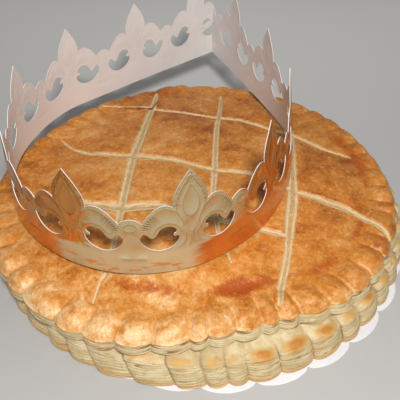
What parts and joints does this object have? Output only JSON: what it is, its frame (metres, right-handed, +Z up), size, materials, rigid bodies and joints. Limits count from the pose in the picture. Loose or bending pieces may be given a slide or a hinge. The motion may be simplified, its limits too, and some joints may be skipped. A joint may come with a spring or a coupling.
{
  "type": "galette des rois with paper crown",
  "caption": "Round two-tier puff pastry galette with a scored glazed top, a standing foil paper crown and a scalloped paper round under it.",
  "frame": {"origin": "centre of the pastry on the flat underside of the paper round it sits on", "axes": "+Z up; -Y is the side seen in front, below the crown's two gold fleurons; +X to the right of that view; the crown's folded corner points to +Y"},
  "size_m": [0.2809, 0.325, 0.1064],
  "materials": {
    "flaky_side": "baked puff pastry, flaky pale layers",
    "glazed_crust": "egg-glazed golden brown crust",
    "gold_foil_card": "mirror-bright embossed gold foil outside, white card inside",
    "white_paper": "smooth white cake card"
  },
  "bodies": {
    "root": {"pastry_base": "flaky_side", "pastry_lid": "glazed_crust", "paper_crown": "gold_foil_card", "paper_round": "white_paper"}
  },
  "joints": []
}
